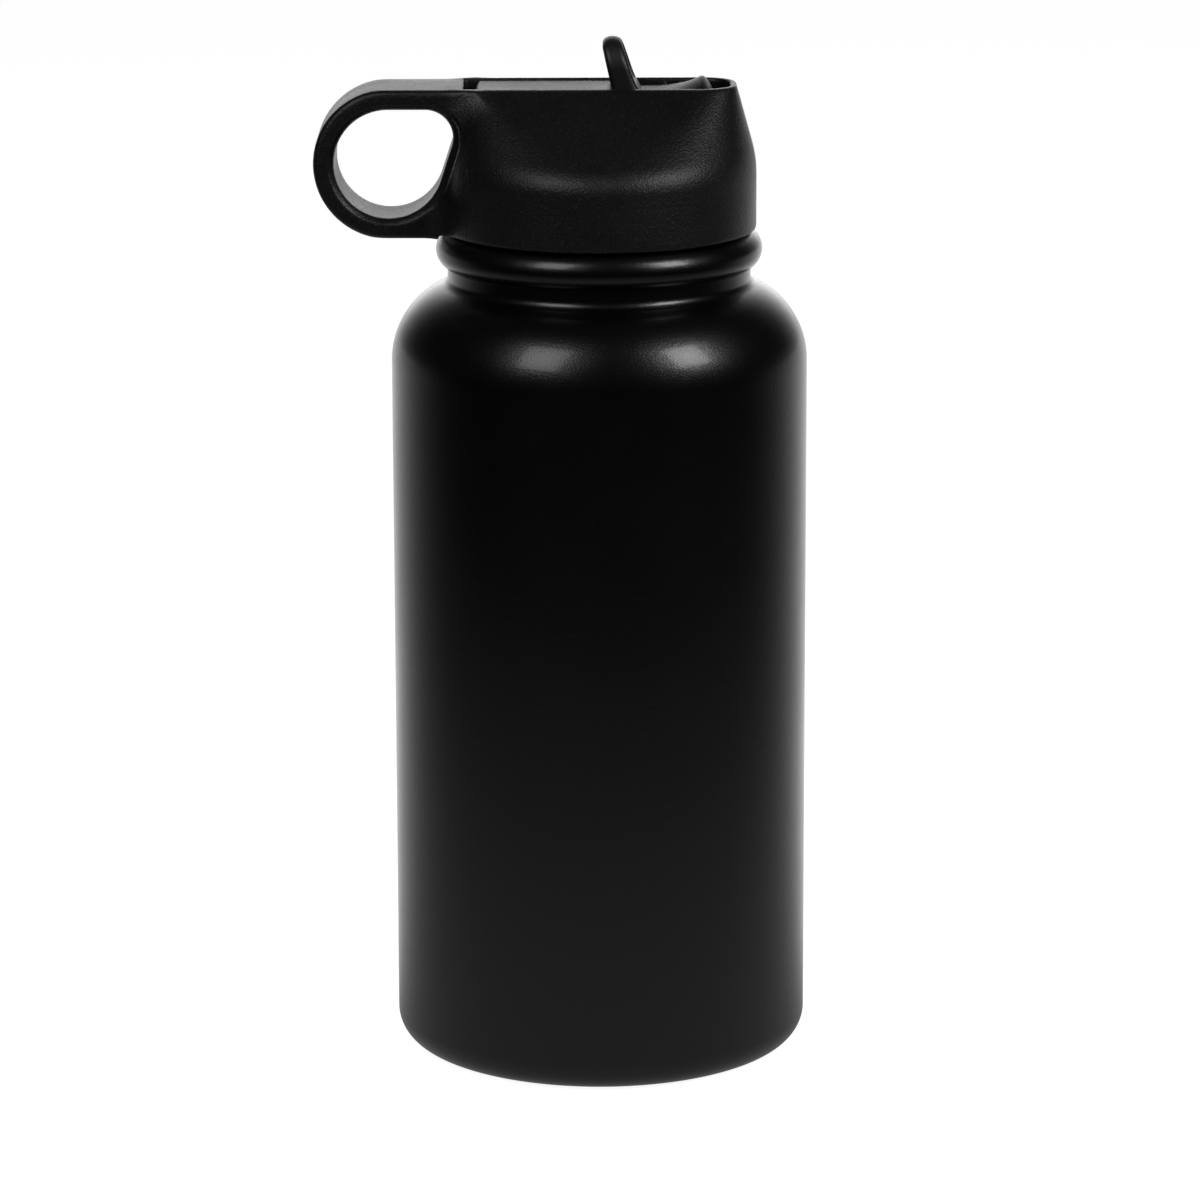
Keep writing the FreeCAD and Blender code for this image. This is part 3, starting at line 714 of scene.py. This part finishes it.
def handling_group():
    """Handling marks: broad uneven patches and sparse fine hairline scratches, as masks."""
    group = bpy.data.node_groups.new("handling_marks", "ShaderNodeTree")
    socket(group, "Vector", "INPUT", "NodeSocketVector")
    socket(group, "Patches per metre", "INPUT", "NodeSocketFloat", 25.0)
    socket(group, "Patches", "OUTPUT", "NodeSocketFloat")
    socket(group, "Scratches", "OUTPUT", "NodeSocketFloat")
    tree = Tree(group)
    given = tree.add("NodeGroupInput")
    patches = tree.add("ShaderNodeTexNoise", {
        "Vector": given.outputs[0], "Scale": given.outputs[1], "Detail": 5.0, "Roughness": 0.65})
    stretched = tree.add("ShaderNodeMapping", {
        "Vector": given.outputs[0], "Rotation": (0.3, 0.5, 0.2), "Scale": (1.0, 1.0, 0.06)})
    lines = tree.add("ShaderNodeTexNoise", {
        "Vector": stretched.outputs[0], "Scale": 900.0, "Detail": 1.0})
    thin = tree.spread(lines.outputs[0], 0.74, 0.78)
    sparse = tree.spread(patches.outputs[0], 0.55, 0.7)
    out = tree.add("NodeGroupOutput")
    group.links.new(tree.spread(patches.outputs[0], 0.3, 0.7), out.inputs[0])
    group.links.new(tree.math("MULTIPLY", thin, sparse), out.inputs[1])
    return group


grain = grain_group()
handling = handling_group()


def surface(name, dark, light, rough, rough_spread, grains, depth, coarse=0.3, specks=0.0,
            metallic=0.0, specular=0.5, seam=None, extra=None):
    """Procedural finish: grain in the normal, patches in colour and roughness, fine specks.

    dark and light are the two colours the patches mix, rough and rough_spread the roughness
    and how far it varies, grains the grain count per metre and depth its height in metres.
    """
    material = bpy.data.materials.new(name)
    material.use_nodes = True
    tree = Tree(material.node_tree)
    shader = material.node_tree.nodes["Principled BSDF"]
    place = tree.add("ShaderNodeTexCoord").outputs["Object"]
    marks = tree.add("ShaderNodeGroup", {0: place}, node_tree=handling)
    texture = tree.add("ShaderNodeGroup", {0: place, 1: grains, 2: coarse}, node_tree=grain)
    colour = tree.mix(marks.outputs[0], (*dark, 1), (*light, 1))
    bright = tuple(min(1.0, c * 3 + 0.01) for c in light)
    speck_share = tree.math("MULTIPLY", texture.outputs[1], specks)
    colour = tree.mix(speck_share, colour, (*bright, 1))
    height = texture.outputs[0]
    if seam:
        line = seam(tree, place)
        colour = tree.mix(tree.math("MULTIPLY", line, 0.6), colour, (0.0, 0.0, 0.0, 1))
        height = tree.math("SUBTRACT", height, tree.math("MULTIPLY", line, 3.0))
    roughness = tree.spread(marks.outputs[0], 0.0, 1.0, rough - rough_spread, rough + rough_spread)
    roughness = tree.math("ADD", roughness, tree.math("MULTIPLY", marks.outputs[1], 0.12))
    bump = tree.add("ShaderNodeBump", {"Height": height, "Distance": depth, "Strength": 1.0})
    tree.tree.links.new(colour, shader.inputs["Base Color"])
    tree.tree.links.new(roughness, shader.inputs["Roughness"])
    tree.tree.links.new(bump.outputs[0], shader.inputs["Normal"])
    shader.inputs["Metallic"].default_value = metallic
    shader.inputs["Specular IOR Level"].default_value = specular
    for key, value in (extra or {}).items():
        shader.inputs[key].default_value = value
    return material


def line_mask(tree, coordinate, place, half):
    """Mask of a thin line where a coordinate, in metres, has a given value."""
    away = tree.math("ABSOLUTE", tree.math("SUBTRACT", coordinate, place))
    return tree.spread(away, half, half * 2.2, 1.0, 0.0)


def lid_seams(tree, place):
    """Mould lines: round the loop and its hole, and upright on the skirt beside it."""
    axis = tree.add("ShaderNodeSeparateXYZ", {0: place})
    x, y, z = axis.outputs[0], axis.outputs[1], axis.outputs[2]
    on_loop = tree.spread(x, -0.0335, -0.0325, 1.0, 0.0)
    ring = tree.math("MULTIPLY", line_mask(tree, y, 0.0033, 0.0001), on_loop)
    on_skirt = tree.spread(z, 0.197, 0.201, 1.0, 0.0)
    upright = tree.math("MULTIPLY", line_mask(tree, x, -0.0283, 0.00007), on_skirt)
    return tree.math("MAXIMUM", ring, tree.math("MULTIPLY", upright, 0.7))


def make_finishes():
    """One material for each slot of the record."""
    return {
        "powder_coat": surface(
            "powder_coat", (0.0004, 0.0004, 0.0005), (0.0009, 0.0009, 0.001), 0.29, 0.015,
            2600, 0.00003, coarse=0.6, specks=0.02,
            extra={"Coat Weight": 0.22, "Coat Roughness": 0.12}),
        "lid_plastic": surface(
            "lid_plastic", (0.0032, 0.0032, 0.0033), (0.0048, 0.0046, 0.0046), 0.42, 0.03,
            1900, 0.0001, coarse=0.4, specks=0.6, seam=lid_seams),
        "spout_plastic": surface(
            "spout_plastic", (0.012, 0.011, 0.011), (0.019, 0.0175, 0.0175), 0.44, 0.04,
            1500, 0.00006, coarse=0.6, specks=0.3),
        "mouth_silicone": surface(
            "mouth_silicone", (0.008, 0.0078, 0.0078), (0.012, 0.0115, 0.0115), 0.46, 0.04,
            2400, 0.000015, coarse=0.4, specks=0.03),
        "bare_steel": surface(
            "bare_steel", (0.50, 0.49, 0.47), (0.62, 0.61, 0.59), 0.28, 0.07,
            1800, 0.000008, coarse=0.4, metallic=1.0),
        "seal_glass": surface(
            "seal_glass", (0.10, 0.12, 0.12), (0.16, 0.18, 0.18), 0.15, 0.04, 900, 0.00001),
        "getter_metal": surface(
            "getter_metal", (0.16, 0.155, 0.15), (0.26, 0.25, 0.24), 0.6, 0.08,
            1600, 0.00004, specks=0.3, metallic=0.6),
        "copper_foil": surface(
            "copper_foil", (0.62, 0.33, 0.20), (0.78, 0.47, 0.32), 0.22, 0.06,
            250, 0.0001, coarse=0.8, metallic=1.0),
        "silicone": surface(
            "silicone", (0.42, 0.43, 0.43), (0.52, 0.53, 0.53), 0.45, 0.05,
            1500, 0.00001, extra={"Subsurface Weight": 0.2, "Subsurface Scale": 0.002}),
        "foam": surface(
            "foam", (0.66, 0.65, 0.61), (0.78, 0.77, 0.73), 0.85, 0.05, 700, 0.0002, coarse=0.7),
        "clear_straw": surface(
            "clear_straw", (0.62, 0.64, 0.65), (0.72, 0.74, 0.75), 0.32, 0.05, 1200, 0.00001,
            extra={"Subsurface Weight": 0.3, "Subsurface Scale": 0.002}),
    }


def paint(piece, material):
    """Gives a new piece its material."""
    piece.data.materials.append(material)


def paint_frame(finishes):
    """Gives every CAD node that still shows the material of its slot."""
    slots = {row["node"]: row["material_slot"] for row in frame["record"]["subparts"]}
    for name, node in frame["nodes"].items():
        for slot in node.material_slots:
            slot.material = finishes[slots[name]]


# ---- stage ----
def make_floor():
    """Pale floor, clear from below. Mirrored, it is bright behind the bottle and at its foot."""
    half, top = 6.0, -0.00005
    mesh = bpy.data.meshes.new("floor")
    corners = [(-half, -half, top), (half, -half, top), (half, half, top), (-half, half, top)]
    mesh.from_pydata(corners, [], [(0, 1, 2, 3)])
    floor = bpy.data.objects.new("floor", mesh)
    bpy.context.collection.objects.link(floor)
    material = bpy.data.materials.new("pale_floor")
    material.use_nodes = True
    tree = Tree(material.node_tree)
    tree.tree.nodes.remove(material.node_tree.nodes["Principled BSDF"])
    out = material.node_tree.nodes["Material Output"]
    place = tree.add("ShaderNodeTexCoord").outputs["Object"]
    axis = tree.add("ShaderNodeSeparateXYZ", {0: place})
    distance = tree.add("ShaderNodeVectorMath", {0: place}, operation="LENGTH").outputs["Value"]
    facing = tree.math("DIVIDE", axis.outputs[1], tree.math("MAXIMUM", distance, 0.01))
    behind = tree.math("POWER", tree.math("MULTIPLY", tree.math("ADD", facing, 1.0), 0.5), 6.0)
    near = tree.spread(distance, 0.05, 0.6, 0.28, 0.0)
    seen = tree.math("ADD", near, tree.math("MULTIPLY", behind, 1.4))
    path = tree.add("ShaderNodeLightPath")
    lit = tree.add("ShaderNodeBsdfDiffuse", {"Color": (0.62, 0.62, 0.62, 1)})
    glow = tree.add("ShaderNodeEmission", {"Color": (1, 1, 1, 1), "Strength": 0.92})
    pale = tree.add("ShaderNodeAddShader", {0: lit.outputs[0], 1: glow.outputs[0]})
    mirrored = tree.add("ShaderNodeEmission", {"Color": (1, 1, 1, 1), "Strength": seen})
    both = tree.add("ShaderNodeMixShader", {
        0: path.outputs["Is Camera Ray"], 1: mirrored.outputs[0], 2: pale.outputs[0]})
    below = tree.add("ShaderNodeNewGeometry").outputs["Backfacing"]
    clear = tree.add("ShaderNodeBsdfTransparent")
    one_way = tree.add("ShaderNodeMixShader", {0: below, 1: both.outputs[0], 2: clear.outputs[0]})
    tree.tree.links.new(one_way.outputs[0], out.inputs[0])
    mesh.materials.append(material)


def make_world():
    """White to the camera. As light it is bright to +Y and fades to almost nothing at -Y.

    For a direction with Y part y the light is 3 times the sum of ((y + 1) / 2) to the
    28th power and 0.005.
    """
    world = bpy.data.worlds.new("studio")
    bpy.context.scene.world = world
    world.use_nodes = True
    tree = Tree(world.node_tree)
    shader = world.node_tree.nodes["Background"]
    facing = tree.add("ShaderNodeSeparateXYZ", {
        0: tree.add("ShaderNodeTexCoord").outputs["Generated"]}).outputs[1]
    share = tree.math("MULTIPLY", tree.math("ADD", facing, 1.0), 0.5, clamp=True)
    level = tree.math("MULTIPLY", tree.math("ADD", tree.math("POWER", share, 28.0), 0.005), 3.0)
    path = tree.add("ShaderNodeLightPath")
    seen = tree.math("MAXIMUM", level, path.outputs["Is Camera Ray"])
    world.node_tree.links.new(seen, shader.inputs["Strength"])
    shader.inputs["Color"].default_value = (1, 1, 1, 1)


def softbox(name, place, size, power):
    """Oblong area light that faces the shoulder."""
    data = bpy.data.lights.new(name, "AREA")
    data.shape = "RECTANGLE"
    data.size, data.size_y = size
    data.energy = power
    lamp = bpy.data.objects.new(name, data)
    lamp.location = place
    aim = Vector((0, 0, straight_top * MM)) - Vector(place)
    lamp.rotation_euler = aim.to_track_quat("-Z", "Y").to_euler()
    bpy.context.collection.objects.link(lamp)


def make_lights():
    """Two soft boxes in front, the right one stronger."""
    softbox("box_right", (1.03, -0.67, 1.015), (0.50, 0.66), 9.0)
    softbox("box_left", (-0.70, -0.96, 1.10), (0.60, 0.80), 5.6)


# ---- putting it together ----
finishes = make_finishes()
paint_frame(finishes)
paint(make_bottle_shell(), finishes["powder_coat"])
paint(make_lid_shell(), finishes["lid_plastic"])
for rib in make_detent_ribs():
    paint(rib, finishes["lid_plastic"])
spout_bar, soft_mouth, thumb_tab = make_spout()
paint(spout_bar, finishes["spout_plastic"])
paint(soft_mouth, finishes["mouth_silicone"])
paint(thumb_tab, finishes["mouth_silicone"])
make_floor()
make_world()
make_lights()
bpy.context.scene.view_settings.view_transform = "Standard"
